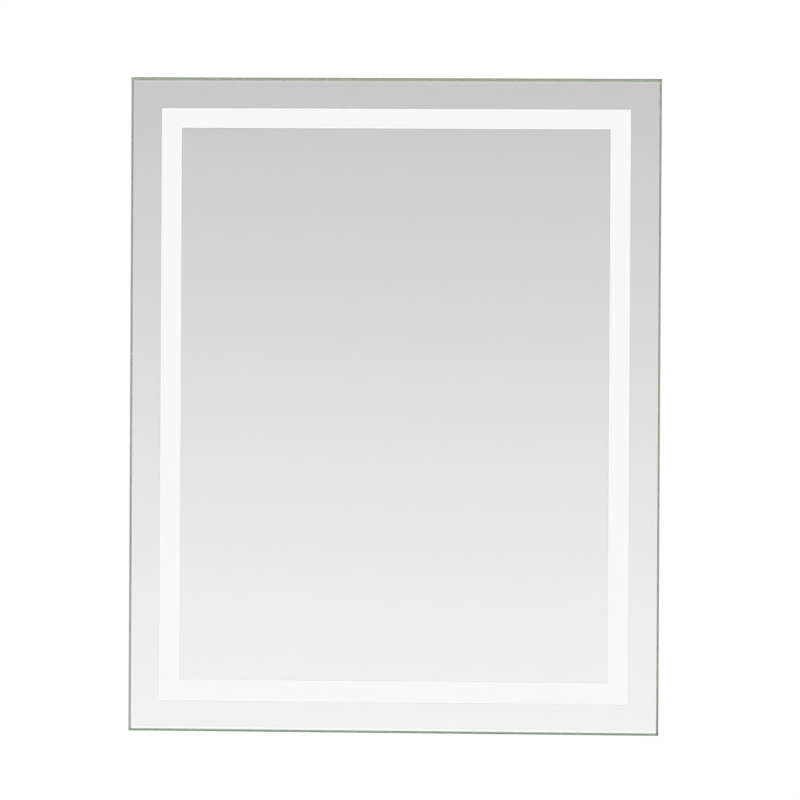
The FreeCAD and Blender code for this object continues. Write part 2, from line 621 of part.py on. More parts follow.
pscrews = body("panel_screws")
screws(pscrews, "corner", Q(-250, "-250"), -(HH - sl), pr, 2.9, 1.9, 1.4, 8, 2, Q(500, "500"), 2, (HH - sl) * 2)
screws(pscrews, "low", Q(-84, "-84"), -(HH - sl), pr, 2.9, 1.9, 1.4, 8, 2, Q(168, "168"))
screws(pscrews, "sides", -(HW - sl), Q(-240, "-240"), pr, 2.9, 1.9, 1.4, 8, 2, (HW - sl) * 2, 4, Q(160, "160"))

# --------------------------------------------------------------- driver box
bf, bw, bh, wl = q("box_front"), q("box_wide"), q("box_high"), q("box_wall")
rf, rr = q("rim_front"), q("rim_rear")
box = body("driver_box")
tub = pad(box, "tub", [centred(zero, bu, bw, bh)], rf, bf)
tub = round_edges(box, "tub_round", tub, 3, along_y)
pad(box, "rim", [centred(zero, bu, q("rim_wide"), q("rim_high"))], rr, rf)
doc.recompute()
rim_edges = lambda e: along_y(e) and abs(abs(e.CenterOfMass.x) - num(q("rim_wide")) / 2) < 0.01
round_edges(box, "rim_round", box.Tip, 5, rim_edges)
pocket(box, "inside", [centred(zero, bu, bw - wl * 2, bh - wl * 2)], bf - wl, rr - 0.5)
# bosses for the lid screws, posts for the clamp, and bosses under the driver's tabs
lx, lz = q("lid_screw_x"), q("lid_screw_z")
pad(box, "bosses", [("circle", sx * lx, bu + sz * lz, 4.5) for sx in (-1, 1) for sz in (-1, 1)], rr, bf - wl + 0.2)
clamp_z = bu + 10
pad(box, "posts", [("circle", q("inlet_x") + s * 11, clamp_z, 3.5) for s in (-1, 1)], 25, bf - wl + 0.2)
pad(box, "feet", [("circle", x, bu - 24, 4) for x in (-68, 44)], bf - 0.2, bf + 2.6)
pocket(box, "boss_holes", [("circle", sx * lx, bu + sz * lz, 1.35) for sx in (-1, 1) for sz in (-1, 1)], 23, rr - 0.5)
pocket(box, "post_holes", [("circle", q("inlet_x") + s * 11, clamp_z, 1.35) for s in (-1, 1)], 31, 24.5)
pocket(box, "foot_holes", [("circle", x, bu - 24, 1.35) for x in (-68, 44)], 35, bf - wl - 0.5)
pocket(box, "rim_holes", [("circle", sx * q("box_screw_x"), bu + sz * q("box_screw_z"), 1.7)
                          for sx in (-1, 1) for sz in (-1, 1)], rf + 0.5, rr - 0.5)
# grommet holes: LED leads out of the top wall, earth lead out of the bottom wall
lead_x, lead_d = -72, 24
side_cut(box, "lead_hole", "XY_Plane", [("circle", lead_x, -lead_d, 4)], (0, 0, bu + bh / 2 + 1), wl + 2)
earth_x, earth_d = 77, 26
side_cut(box, "earth_hole", "XY_Plane", [("circle", earth_x, -earth_d, 3.5)], (0, 0, bu - bh / 2 + wl + 1), wl + 2)

gasket = body("driver_box_gasket")
pad(gasket, "ring", [centred(zero, bu, q("rim_wide"), q("rim_high")), centred(zero, bu, bw + 1, bh + 1)], rf, pr)
pocket(gasket, "holes", [("circle", sx * q("box_screw_x"), bu + sz * q("box_screw_z"), 1.7)
                         for sx in (-1, 1) for sz in (-1, 1)], pr + 0.5, pr - 1)

bscrews = body("driver_box_screws")
screws(bscrews, "s", -q("box_screw_x"), bu - q("box_screw_z"), rr, 2.9, 2.0, 1.4, 8, 2, q("box_screw_x") * 2, 2, q("box_screw_z") * 2)

lid = body("driver_box_lid")
lb2 = q("lid_rear")
f = pad(lid, "plate", [centred(zero, bu, q("lid_wide"), q("lid_high"))], lb2, rr)
f = round_edges(lid, "corners", f, 4, along_y)
round_edges(lid, "soft", f, 0.8, lambda e: abs(e.BoundBox.YMax + num(lb2)) < 1e-6 and e.BoundBox.YLength < 1e-6)
ix, iz = q("inlet_x"), bu + q("inlet_z")
pocket(lid, "holes", [("circle", sx * lx, bu + sz * lz, 1.7) for sx in (-1, 1) for sz in (-1, 1)] +
       [("circle", ix, iz, 6.5)], rr + 0.5, lb2 - 0.5)

lscrews = body("lid_screws")
screws(lscrews, "s", -lx, bu - lz, lb2, 2.9, 2.0, 1.3, 12, 2, lx * 2, 2, lz * 2)

# Rubber inlet in the lid: two collars and a neck round the bore for the cable.
inlet = body("cable_grommet")
pad(inlet, "inner_collar", [("circle", ix, iz, 9)], rr, rr + 2)
pad(inlet, "neck", [("circle", ix, iz, 6.45)], lb2 - 0.2, rr + 0.2)
f = pad(inlet, "outer_collar", [("circle", ix, iz, 9)], lb2 - 2, lb2)
round_edges(inlet, "soft", f, 0.7, lambda e: abs(e.BoundBox.YMax + num(lb2) - 2) < 1e-6 and e.BoundBox.YLength < 1e-6)
pocket(inlet, "bore", [("circle", ix, iz, q("cable_radius"))], rr + 2.5, lb2 - 2.5)

# ------------------------------------------------------- inside the driver box
floor = bf - wl
driver = body("led_driver")
dz = bu - 24
dx0, dx1 = -63, 39
f = pad(driver, "case", [rect(dx0, dz - 21, dx1, dz + 21)], 15, floor)
round_edges(driver, "soft", f, 1.5, lambda e: e.BoundBox.YMax > -15.01 or along_y(e))
pad(driver, "tabs", [rect(dx0 - 10, dz - 8, dx0 + 1, dz + 8), rect(dx1 - 1, dz - 8, dx1 + 10, dz + 8)], floor - 1.5, floor)
pocket(driver, "tab_holes", [("circle", x, dz, 1.7) for x in (-68, 44)], floor + 0.5, floor - 2)

dscrews = body("driver_screws")
screws(dscrews, "s", Q(-68, "-68"), dz, floor - 1.5, 2.7, 1.8, 1.3, 5.2, 2, Q(112, "112"))

block = body("terminal_block")
tx, tz = 67, bu - 20
f = pad(block, "block", [rect(tx - 15, tz - 11, tx + 15, tz + 11)], 19, floor)
round_edges(block, "soft", f, 0.8, lambda e: e.BoundBox.YMax > -19.01)
pocket(block, "wells", [("circle", tx + k, tz + s, 2.4) for k in (-10, 0, 10) for s in (-6, 6)], 22.5, 18.5)
side_cut(block, "entries_low", "XY_Plane", [("circle", tx + k, -26, 1.6) for k in (-10, 0, 10)], (0, 0, tz - 11 + 7), 8)
side_cut(block, "entries_high", "XY_Plane", [("circle", tx + k, -26, 2.0) for k in (-10, 0, 10)], (0, 0, tz + 11 + 1), 8)

tscrews = body("terminal_screws")
f = pad(tscrews, "screw", [("circle", Q(tx - 10, repr(tx - 10.0)), tz - 6, 1.9)], 20.3, 22.5)
k = pocket(tscrews, "slit", [rect(tx - 10 - 1.5, tz - 6 - 0.3, tx - 10 + 1.5, tz - 6 + 0.3)], 21.3, 20.0)
repeat(tscrews, "set", [f, k], 3, Q(10, "10"), 2, Q(12, "12"))

clamp = body("cord_clamp")
cx = q("inlet_x")
f = pad(clamp, "bar", [rect(cx - 15, clamp_z - 4, cx + 15, clamp_z + 4)], 21.5, 25)
round_edges(clamp, "soft", f, 1.2, along_y)
side_cut(clamp, "arch", "XY_Plane", [("circle", cx, -27, 4)], (0, 0, clamp_z + 5), 10)
pocket(clamp, "holes", [("circle", cx + s * 11, clamp_z, 1.7) for s in (-1, 1)], 25.5, 21)

cscrews = body("cord_clamp_screws")
screws(cscrews, "s", cx - 11, clamp_z, 21.5, 2.7, 1.8, 1.3, 9, 2, Q(22, "22"))


def grommet(name, x, d, wall_low, wall_high, hole, bores):
    """A rubber grommet in a box wall that runs square to Z."""
    b = body(name)
    long = wall_high - wall_low
    for tag, r, z0, z1 in (("neck", hole - 0.05, wall_low - 0.1, wall_high + 0.1), ("collar_a", hole + 1.4, wall_high, wall_high + 1.4),
                           ("collar_b", hole + 1.4, wall_low - 1.4, wall_low)):
        sk = sketch(b, name + "_" + tag + "_sk", "XY_Plane", [("circle", x, -d, r)], (0, 0, z0))
        f = b.newObject("PartDesign::Pad", name + "_" + tag)
        f.Profile = sk
        f.Length = num(z1 - z0)
    side_cut(b, "bores", "XY_Plane", [("circle", bx, -d, r) for bx, r in bores], (0, 0, wall_high + 3), long + 6)
    return b


top_in, top_out = bu + bh / 2 - wl, bu + bh / 2
low_out, low_in = bu - bh / 2, bu - bh / 2 + wl
grommet("lead_grommet", lead_x, lead_d, top_in, top_out, 4, [(lead_x - 1.1, 0.85), (lead_x + 1.1, 0.85)])
grommet("earth_grommet", earth_x, earth_d, low_out, low_in, 3.5, [(earth_x, 1.15)])

# ----------------------------------------------------------------- the leads
B = num(bu)
H, W = num(HH), num(HW)
mr, wr = num(q("mains_radius")), num(q("wire_radius"))
solid_part("mains_lead_brown", tube([(tx - 10, -26, B - 30), (tx - 10, -26, B - 38), (dx1, -26, B - 38)], mr, [6.5]))
solid_part("mains_lead_blue", tube([(tx, -26, B - 30), (tx, -26, B - 43), (dx1, -26, B - 43)], mr, [11]))
panel_d = 16.2
solid_part("earth_lead", tube([(earth_x, -26, B - 30), (earth_x, -26, B - 62), (earth_x, -17, B - 74), (earth_x, -17, B - 86)],
                              mr, [11, 9]))
for name, off, z_end in (("led_lead_red", 1.1, H - 45.8), ("led_lead_black", -1.1, H - 48.0)):
    x1 = lead_x + off
    z1 = B - 22 + 3 * off
    z_low = 300 + off
    x2 = -266 + off
    d_top = num(st) + wr
    pts = [(dx0, -lead_d, z1), (x1, -lead_d, z1), (x1, -lead_d, B + 62), (x1, -panel_d, B + 84), (x1, -panel_d, z_low),
           (x2, -panel_d, z_low), (x2, -panel_d, z_end), (x2, -d_top, z_end), (-251, -d_top, z_end)]
    inner = 1.1 if off > 0 else -1.1
    solid_part(name, tube(pts, wr, [6 - inner, 30, 30, 18 - inner, 18 + inner, 4, 4]))

# Clips that are stuck to the panel, each over both LED leads.
clips = body("lead_clips")
places = [(Q(lead_x, repr(lead_x)), Q(235, "235"), 1), (Q(-175, "-175"), Q(300, "300"), 0)]
loops, cuts_v = [], []
for x, z, upright in places:
    loops.append(centred(x, z, 10.0 if upright else 8.0, 8.0 if upright else 10.0))
pad(clips, "pads", loops, sr, 18.6)
side_cut(clips, "way_up", "XY_Plane", [rect(lead_x - 2.1, -17.2, lead_x + 2.1, -15.2)], (0, 0, 235 + 6), 12)
side_cut(clips, "way_across", "YZ_Plane", [rect(-17.2, 297.9, -15.2, 302.1)], (0, 0, -175 + 6), 12)

# Earth bonding on the inner face of the panel.
ex, ez = earth_x, bu - 92
stud = body("earth_stud")
pad(stud, "shoulder", [("circle", ex, ez, 4)], sr, 16.6)
pad(stud, "thread", [("circle", ex, ez, 1.95)], 16.4, 24)
tag = body("earth_tag")
pad(tag, "ring", [("circle", ex, ez, 4.4), ("circle", ex, ez, 2.1)], 16.6, 17.4)
pad(tag, "tongue", [rect(ex - 1.6, ez + 4.0, ex + 1.6, ez + 6)], 16.6, 17.4)
nut = body("earth_nut")
pad(nut, "nut", [hexagon(ex, ez, 7), ("circle", ex, ez, 2.05)], 17.4, 20.6)

# ----------------------------------------------------------------- the rails
rs = q("rail_sheet")
ht = q("hook_top")
hang = body("hanging_rail")
base = -MID                        # height of the slot row above the middle of the mirror
run(hang, "profile", "YZ_Plane", [(-pr, base + ht), (Q(-3, "-3") - rs, base + ht), (Q(-3, "-3") - rs, base + 17),
                                  (Q(-3, "-3"), base + 17), (Q(-3, "-3"), base + ht + rs), (-pr + rs, base + ht + rs),
                                  (-pr + rs, base + 51), (-pr, base + 51)], q("hang_rail_long"))
pocket(hang, "holes", [("circle", s * q(k), HH - sl, 2.2) for s in (-1, 1) for k in ("slot_inner", "slot_outer")],
       pr + 0.5, pr - rs - 0.5)
hscrews = body("hanging_rail_screws")
for i, k in enumerate(("slot_inner", "slot_outer")):
    screws(hscrews, "s%d" % i, -q(k), HH - sl, pr - rs, 4.0, 2.6, 1.95, 10, 2, q(k) * 2)
hnuts = body("hanging_rail_nuts")
pad(hnuts, "nuts", [hexagon(s * q(k), HH - sl, 7) for s in (-1, 1) for k in ("slot_inner", "slot_outer")] +
    [("circle", s * q(k), HH - sl, 2.05) for s in (-1, 1) for k in ("slot_inner", "slot_outer")], sr + t, sr + t + 3.2)

rail = body("wall_rail", middle=False)
run(rail, "profile", "YZ_Plane", [(zero, -11), (zero, 13), (Q(-6, "-6"), 13), (Q(-6, "-6"), ht), (Q(-6, "-6") - rs, ht),
                                  (Q(-6, "-6") - rs, 13 - rs), (-rs, 13 - rs), (-rs, -11)], q("wall_rail_long"))
pocket(rail, "slots", [("slot", s * q(k), zero, q("slot_long"), q("slot_wide")) for s in (-1, 1)
                       for k in ("slot_inner", "slot_outer")], rs + 0.5, -0.5)

# ------------------------------------------------------- check and write out
doc.recompute()
bad = [o.Name for o in doc.Objects if "Invalid" in o.State or "Error" in o.State]
if bad:
    raise RuntimeError("failed objects: " + ", ".join(bad))
for o in made:
    if o.Shape.isNull() or not o.Shape.isValid() or not o.Shape.Solids:
        raise RuntimeError("bad shape: " + o.Label)
for o in made:
    o.Shape.exportStep("parts/%s.step" % o.Label)
    bb = o.Shape.BoundBox
    print("%-22s solids %3d  volume %10.1f  x %.2f %.2f  y %.2f %.2f  z %.2f %.2f" % (
        o.Label, len(o.Shape.Solids), o.Shape.Volume, bb.XMin, bb.XMax, bb.YMin, bb.YMax, bb.ZMin, bb.ZMax))
print("%d sub-parts" % len(made))
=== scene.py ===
import math

import bmesh
import bpy
from mathutils import Matrix, Vector


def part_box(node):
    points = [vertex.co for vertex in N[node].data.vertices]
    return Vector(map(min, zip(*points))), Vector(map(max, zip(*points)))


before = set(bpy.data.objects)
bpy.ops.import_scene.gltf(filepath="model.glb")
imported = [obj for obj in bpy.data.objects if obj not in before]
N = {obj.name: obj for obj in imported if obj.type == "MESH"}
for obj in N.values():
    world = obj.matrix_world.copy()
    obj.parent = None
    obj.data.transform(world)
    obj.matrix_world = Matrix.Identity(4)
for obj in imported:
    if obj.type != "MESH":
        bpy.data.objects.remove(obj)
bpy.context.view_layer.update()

scene = bpy.context.scene

# ---------------------------------------------------------------- the camera
# Ten metres in front of the glass and a little to its right, a touch above
# its middle. The numbers come from the corners of glass and band in the photo.
cam_data = bpy.data.cameras.new("camera")
cam = bpy.data.objects.new("camera", cam_data)
scene.collection.objects.link(cam)
cam_data.sensor_width = 36.0
cam_data.lens = 368.5432
cam_data.clip_start, cam_data.clip_end = 0.05, 60.0
yaw, pitch, roll = math.radians(-5.1389), math.radians(-0.9178), math.radians(0.3104)
ahead = Vector((math.sin(yaw) * math.cos(pitch), math.cos(yaw) * math.cos(pitch), math.sin(pitch)))
right = Vector((math.cos(yaw), -math.sin(yaw), 0.0))
up = right.cross(ahead)
cx = right * math.cos(roll) + up * math.sin(roll)
cy = -right * math.sin(roll) + up * math.cos(roll)
cz = -ahead
cam.matrix_world = Matrix(((cx.x, cy.x, cz.x, 0.9027), (cx.y, cy.y, cz.y, -10.0), (cx.z, cy.z, cz.z, -0.1467), (0, 0, 0, 1)))
scene.camera = cam

scene.view_settings.view_transform = "Standard"
scene.view_settings.look = "None"
scene.view_settings.exposure = 0.0
scene.view_settings.gamma = 1.0
c = scene.cycles
c.use_denoising = True
c.denoiser = "OPENIMAGEDENOISE"
c.denoising_input_passes = "RGB_ALBEDO_NORMAL"
c.denoising_prefilter = "ACCURATE"
c.max_bounces = 24
c.diffuse_bounces = 4
c.glossy_bounces = 12
c.transmission_bounces = 24
c.transparent_max_bounces = 16
c.blur_glossy = 0.0
c.caustics_reflective = True
c.caustics_refractive = True
c.sample_clamp_indirect = 8.0


# ------------------------------------------------------------- node shorthand
class Mat:
    """A material with a Principled shader, and short ways to add nodes to it.
    Coordinates are the row frame's, in metres, because every node of the frame
    has its place in its mesh."""

    def __init__(self, name, **values):
        self.m = bpy.data.materials.new(name)
        self.m.use_nodes = True
        self.t = self.m.node_tree
        self.t.nodes.clear()
        self.out = self.t.nodes.new("ShaderNodeOutputMaterial")
        self.b = self.t.nodes.new("ShaderNodeBsdfPrincipled")
        self.t.links.new(self.b.outputs[0], self.out.inputs[0])
        self._coord = None
        for k, v in values.items():
            self.set(k, v)

    NAMES = {"color": "Base Color", "metal": "Metallic", "rough": "Roughness", "ior": "IOR", "level": "Specular IOR Level",
             "trans": "Transmission Weight", "coat": "Coat Weight", "coat_rough": "Coat Roughness", "sheen": "Sheen Weight",
             "glow": "Emission Color", "glow_power": "Emission Strength", "normal": "Normal", "sub": "Subsurface Weight",
             "sub_scale": "Subsurface Scale", "aniso": "Anisotropic", "alpha": "Alpha", "coat_normal": "Coat Normal"}

    def set(self, key, value):
        s = self.b.inputs[self.NAMES[key]]
        if hasattr(value, "is_linked"):
            self.t.links.new(value, s)
        elif isinstance(value, (tuple, list)) and len(value) == 3 and s.type == "RGBA":
            s.default_value = (*value, 1.0)
        else:
            s.default_value = value
        return self

    def node(self, kind, **props):
        n = self.t.nodes.new(kind)
        for k, v in props.items():
            setattr(n, k, v)
        return n

    def put(self, n, i, v):
        s = n.inputs[i]
        if hasattr(v, "is_linked"):
            self.t.links.new(v, s)
        elif isinstance(v, (tuple, list)) and s.type == "RGBA" and len(v) == 3:
            s.default_value = (*v, 1.0)
        else:
            s.default_value = v

    def coord(self):
        if self._coord is None:
            self._coord = self.node("ShaderNodeTexCoord").outputs["Object"]
        return self._coord

    def scaled(self, scale, turn=(0, 0, 0), shift=(0, 0, 0)):
        n = self.node("ShaderNodeMapping")
        self.put(n, 0, self.coord())
        n.inputs["Scale"].default_value = scale
        n.inputs["Rotation"].default_value = turn
        n.inputs["Location"].default_value = shift
        return n.outputs[0]

    def xyz(self, vec=None):
        n = self.node("ShaderNodeSeparateXYZ")
        self.put(n, 0, self.coord() if vec is None else vec)
        return n.outputs

    def noise(self, scale, detail=3.0, rough=0.5, vec=None, warp=0.0):
        n = self.node("ShaderNodeTexNoise")
        self.put(n, "Vector", self.coord() if vec is None else vec)
        self.put(n, "Scale", scale)
        self.put(n, "Detail", detail)
        self.put(n, "Roughness", rough)
        self.put(n, "Distortion", warp)
        return n.outputs[0]

    def cells(self, scale, out="Color", feature="F1", vec=None, random=1.0):
        n = self.node("ShaderNodeTexVoronoi", feature=feature)
        self.put(n, "Vector", self.coord() if vec is None else vec)
        self.put(n, "Scale", scale)
        self.put(n, "Randomness", random)
        return n.outputs[out]

    def math(self, op, a, b=0.0, c=None, clamp=False):
        n = self.node("ShaderNodeMath", operation=op, use_clamp=clamp)
        self.put(n, 0, a)
        self.put(n, 1, b)
        if c is not None:
            self.put(n, 2, c)
        return n.outputs[0]

    def span(self, v, a, b, lo=0.0, hi=1.0, smooth=False):
        n = self.node("ShaderNodeMapRange", interpolation_type="SMOOTHSTEP" if smooth else "LINEAR")
        for i, x in enumerate((v, a, b, lo, hi)):
            self.put(n, i, x)
        return n.outputs[0]

    def mix(self, f, a, b, blend="MIX"):
        n = self.node("ShaderNodeMix", data_type="RGBA", blend_type=blend)
        self.put(n, 0, f)
        self.put(n, 6, a)
        self.put(n, 7, b)
        return n.outputs[2]

    def tint(self, base, v, spread):
        """base, made lighter and darker by v, which runs about 0.5."""
        f = self.span(v, 0.25, 0.75, 1 - spread, 1 + spread)
        n = self.node("ShaderNodeVectorMath", operation="SCALE")
        if hasattr(base, "is_linked"):
            self.put(n, 0, base)
        else:
            n.inputs[0].default_value = base
        self.put(n, 3, f)
        return n.outputs[0]

    def bump(self, height, distance, strength=1.0, normal=None):
        n = self.node("ShaderNodeBump")
        self.put(n, "Height", height)
        self.put(n, "Distance", distance)
        self.put(n, "Strength", strength)
        if normal is not None:
            self.put(n, "Normal", normal)
        return n.outputs[0]

    def sides(self, lo, hi):
        """How far a point is inside the left, right, lower and upper side of a box."""
        x, y, z = self.xyz()
        return (self.math("SUBTRACT", x, lo.x), self.math("SUBTRACT", hi.x, x),
                self.math("SUBTRACT", z, lo.z), self.math("SUBTRACT", hi.z, z))

    def least(self, values, op="MINIMUM"):
        r = values[0]
        for v in values[1:]:
            r = self.math(op, r, v)
        return r

    def gain(self, base, f):
        """base, multiplied by f."""
        n = self.node("ShaderNodeVectorMath", operation="SCALE")
        if hasattr(base, "is_linked"):
            self.put(n, 0, base)
        else:
            n.inputs[0].default_value = base
        self.put(n, 3, f)
        return n.outputs[0]

    def rounded(self, radius):
        n = self.node("ShaderNodeBevel", samples=4)
        self.put(n, "Radius", radius)
        return n.outputs[0]


def give(mat, *names):
    for n in names:
        o = N[n]
        o.data.materials.clear()
        o.data.materials.append(mat)


def give_where(obj, mat, test):
    """A second material on the faces for which test(centre, normal) is true."""
    obj.data.materials.append(mat)
    k = len(obj.data.materials) - 1
    for p in obj.data.polygons:
        if test(p.center, p.normal):
            p.material_index = k


# ------------------------------------------------------------ glass and silver
# Clear float glass. Its two faces are fire polished; the ground edge is a satin
# green, and carries the faint lines of the grinding wheel.
m = Mat("float_glass_face", color=(0.975, 0.992, 0.982), rough=0.0, ior=1.52, trans=1.0)
m.set("rough", m.span(m.noise(9.0, 2.0), 0.3, 0.8, 0.0, 0.004))
glass_face = m.m

m = Mat("float_glass_edge", ior=1.52, trans=0.40)
lines = m.noise(1.0, 3.0, 0.6, m.scaled((60, 2600, 60)))
patch = m.noise(6.0, 2.0)
glo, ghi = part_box("mirror_glass")
el, er, eb, et = (m.span(d, 0.004, 0.003) for d in m.sides(glo, ghi))
# painted light and shade: the left edge painted lighter, the right and the bottom edges darker
painted_light_and_shade = m.math("ADD", m.math("MULTIPLY", el, 0.10), m.math("MULTIPLY", er, -0.10))
painted_light_and_shade = m.math("ADD", m.math("ADD", painted_light_and_shade, 1.0), m.math("MULTIPLY", eb, -0.24))
edge_green_and_reflection = m.mix(m.span(patch, 0.35, 0.65), (0.46, 0.58, 0.47), (0.49, 0.61, 0.50))
# the top and right edges painted more olive: partly the glass's own green, partly painted reflection
edge_green_and_reflection = m.mix(m.math("MULTIPLY", et, 0.9), edge_green_and_reflection, (0.45, 0.49, 0.40))
edge_green_and_reflection = m.mix(m.math("MULTIPLY", er, 0.8), edge_green_and_reflection, (0.49, 0.56, 0.41))
# the outermost part of the front arris, painted darker along the top, the bottom and low on the right: painted shade
dl, dr, db, dt = m.sides(glo, ghi)
x, y, z = m.xyz()
low = m.span(z, -0.45, -0.70)
painted_dark_arris = m.math("MAXIMUM", m.span(dt, 0.0011, 0.0005), m.math("MULTIPLY", m.span(db, 0.0011, 0.0005), 0.8))
painted_dark_arris = m.math("MAXIMUM", painted_dark_arris, m.math("MULTIPLY", m.span(dr, 0.0011, 0.0005), low))
painted_dark_arris = m.math("MULTIPLY", painted_dark_arris, m.span(y, glo.y + 0.0018, glo.y + 0.0014))
painted_light_and_shade = m.math("MULTIPLY", painted_light_and_shade, m.span(painted_dark_arris, 0.0, 1.0, 1.0, 0.30))
m.set("color", m.gain(edge_green_and_reflection, painted_light_and_shade))
m.set("rough", m.span(lines, 0.3, 0.7, 0.24, 0.36))
m.set("normal", m.bump(lines, 0.00003, 0.4))
glass_edge = m.m

give(glass_face, "mirror_glass")
give_where(N["mirror_glass"], glass_edge, lambda p, n: abs(n.y) < 0.999)

# Silvering: neutral, and its tint balances the green of the glass in front. Where
# it ends, a thin bright line is painted into its colour: a painted highlight for light
# thrown back by the ground edge. Beside the matt band a faintly darker line is painted: painted shade.
border_lo, border_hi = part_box("silver_border")
band_lo, band_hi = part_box("frosted_band")
centre_lo, centre_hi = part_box("silver_centre")
m = Mat("silvering", metal=1.0)
cloud = m.noise(2.2, 3.0)
dl, dr, db, dt = m.sides(border_lo, border_hi)
# painted highlight: a thin bright line along each side where the silvering ends, strongest at the bottom and the left
painted_edge_highlight = m.math("MULTIPLY", m.span(dl, 0.0012, 0.0008), 0.085)
for d, wide, power in ((dr, 0.0016, 0.020), (db, 0.0025, 0.100), (dt, 0.0026, 0.060)):
    painted_edge_highlight = m.math("MAXIMUM", painted_edge_highlight, m.math("MULTIPLY", m.span(d, wide, wide - 0.0004), power))
out4 = m.sides(band_lo, band_hi)
in4 = m.sides(centre_lo, centre_hi)
from_out = m.math("MULTIPLY", m.least(out4), -1.0)
from_in = m.least(in4)
# painted shade: a faintly darker line in the silvering beside the matt band, stronger along the band's top bar
painted_band_shade = m.math("MAXIMUM", m.math("MULTIPLY", m.span(from_out, 0.0, 0.0004), m.span(from_out, 0.0018, 0.0012)),
              m.math("MULTIPLY", m.span(from_in, 0.0, 0.0004), m.span(from_in, 0.0018, 0.0012)))
z = m.xyz()[2]
over = m.span(m.math("ABSOLUTE", m.math("SUBTRACT", z, (band_hi.z + centre_hi.z) / 2)), 0.016, 0.015)
level = m.math("SUBTRACT", m.math("ADD", painted_edge_highlight, 1.0), m.math("MULTIPLY", painted_band_shade, m.span(over, 0.0, 1.0, 0.035, 0.085)))
m.set("color", m.tint(m.gain((0.875, 0.845, 0.862), level), cloud, 0.003))
m.set("rough", m.span(m.noise(14.0, 3.0), 0.3, 0.8, 0.0, 0.006))
silver = m.m

# The paint on the back of the silvering: rolled on, grey green, satin.
m = Mat("mirror_back_paint", ior=1.5)
roll = m.noise(420.0, 3.0, 0.6)
wide = m.noise(6.0, 4.0, 0.6, m.scaled((1.0, 1.0, 0.25)))
m.set("color", m.tint(m.mix(m.span(wide, 0.3, 0.7), (0.20, 0.245, 0.235), (0.255, 0.30, 0.285)), roll, 0.08))
m.set("rough", m.span(m.noise(60.0, 3.0), 0.3, 0.7, 0.34, 0.52))
m.set("normal", m.bump(roll, 0.00006, 0.6))
back_paint = m.m

for n in ("silver_centre", "silver_border"):
    give(silver, n)
    give_where(N[n], back_paint, lambda p, nn: nn.y > 0.5)

# The lit band: the etched strip of the glass, evenly lit from behind. Its cut
# edges are painted a little brighter (painted highlight lines), and so is the lower end of the right strip (painted
# highlight).
m = Mat("lit_band", color=(0.12, 0.12, 0.12), rough=0.6)
x, y, z = m.xyz()
grain = m.noise(900.0, 2.0, 0.6)
drift = m.noise(5.0, 2.0)
low = m.span(z, -0.50, -0.60, 0.0, 1.0, True)
side = m.span(x, 0.235, 0.26, 0.0, 1.0, True)
# painted highlight: the lower end of the right strip made a little brighter
painted_bright_spot = m.math("MULTIPLY", low, side)
glow = m.math("ADD", m.span(drift, 0.2, 0.8, 0.997, 1.003), m.math("MULTIPLY", painted_bright_spot, 0.010))
glow = m.math("MULTIPLY", glow, m.span(grain, 0.2, 0.8, 0.997, 1.003))
glow = m.math("MULTIPLY", glow, m.span(z, band_lo.z, band_hi.z, 0.981, 1.012))
# painted highlight lines along the band's cut edges, stronger along its top edges
outer_line = m.span(m.least(m.sides(band_lo, band_hi)), 0.0013, 0.0009)
inner_line = m.span(m.math("MULTIPLY", m.least(m.sides(centre_lo, centre_hi)), -1.0), 0.0013, 0.0009)
top_in = m.span(z, centre_hi.z - 0.001, centre_hi.z)
top_out = m.span(z, band_hi.z - 0.0016, band_hi.z - 0.0012)
line = m.math("ADD", m.math("MULTIPLY", m.math("ADD", outer_line, inner_line), 0.015),
              m.math("MULTIPLY", m.math("MULTIPLY", inner_line, top_in), 0.10))
line = m.math("ADD", line, m.math("MULTIPLY", m.math("MULTIPLY", outer_line, top_out), 0.065))
glow = m.math("ADD", glow, line)
tone = m.node("ShaderNodeCombineColor")
m.put(tone, 0, glow)
m.put(tone, 1, m.math("MULTIPLY", glow, 0.978))
m.put(tone, 2, m.math("MULTIPLY", glow, 0.991))
m.set("glow", tone.outputs[0])
m.set("glow_power", 0.8355)
m.m.cycles.emission_sampling = "NONE"
band = m.m
give(band, "frosted_band")

# Lacquer over the bare margin: what shows through the glass as the sage rim. Its colour
# changes by side and in patches on the right: partly the lacquer's own colour, partly painted reflection and painted
# light.
m = Mat("edge_lacquer", rough=0.55, ior=1.45)
x, y, z = m.xyz()
along = m.noise(3.0, 2.0, 0.5)
fine = m.noise(160.0, 2.0, 0.6)
sage = m.mix(m.span(along, 0.35, 0.65), (0.435, 0.515, 0.425), (0.465, 0.545, 0.46))
right_side = m.span(x, 0.318, 0.3215, 0.0, 1.0)
top_side = m.span(z, border_hi.z - 0.003, border_hi.z, 0.0, 1.0)
# the right and top sides painted more olive: partly lacquer colour, partly painted reflection
lacquer_and_reflection = m.mix(m.math("MULTIPLY", right_side, 0.85), sage, (0.475, 0.50, 0.355))
lacquer_and_reflection = m.mix(m.math("MULTIPLY", top_side, 0.7), lacquer_and_reflection, (0.475, 0.505, 0.39))
# painted reflection: a warm patch high on the right side
warm = m.math("MULTIPLY", right_side, m.math("MULTIPLY", m.span(z, 0.060, 0.035, 0, 1, True), m.span(z, -0.075, -0.020, 0, 1, True)))
lacquer_and_reflection = m.mix(m.math("MULTIPLY", warm, 0.8), lacquer_and_reflection, (0.50, 0.49, 0.33))
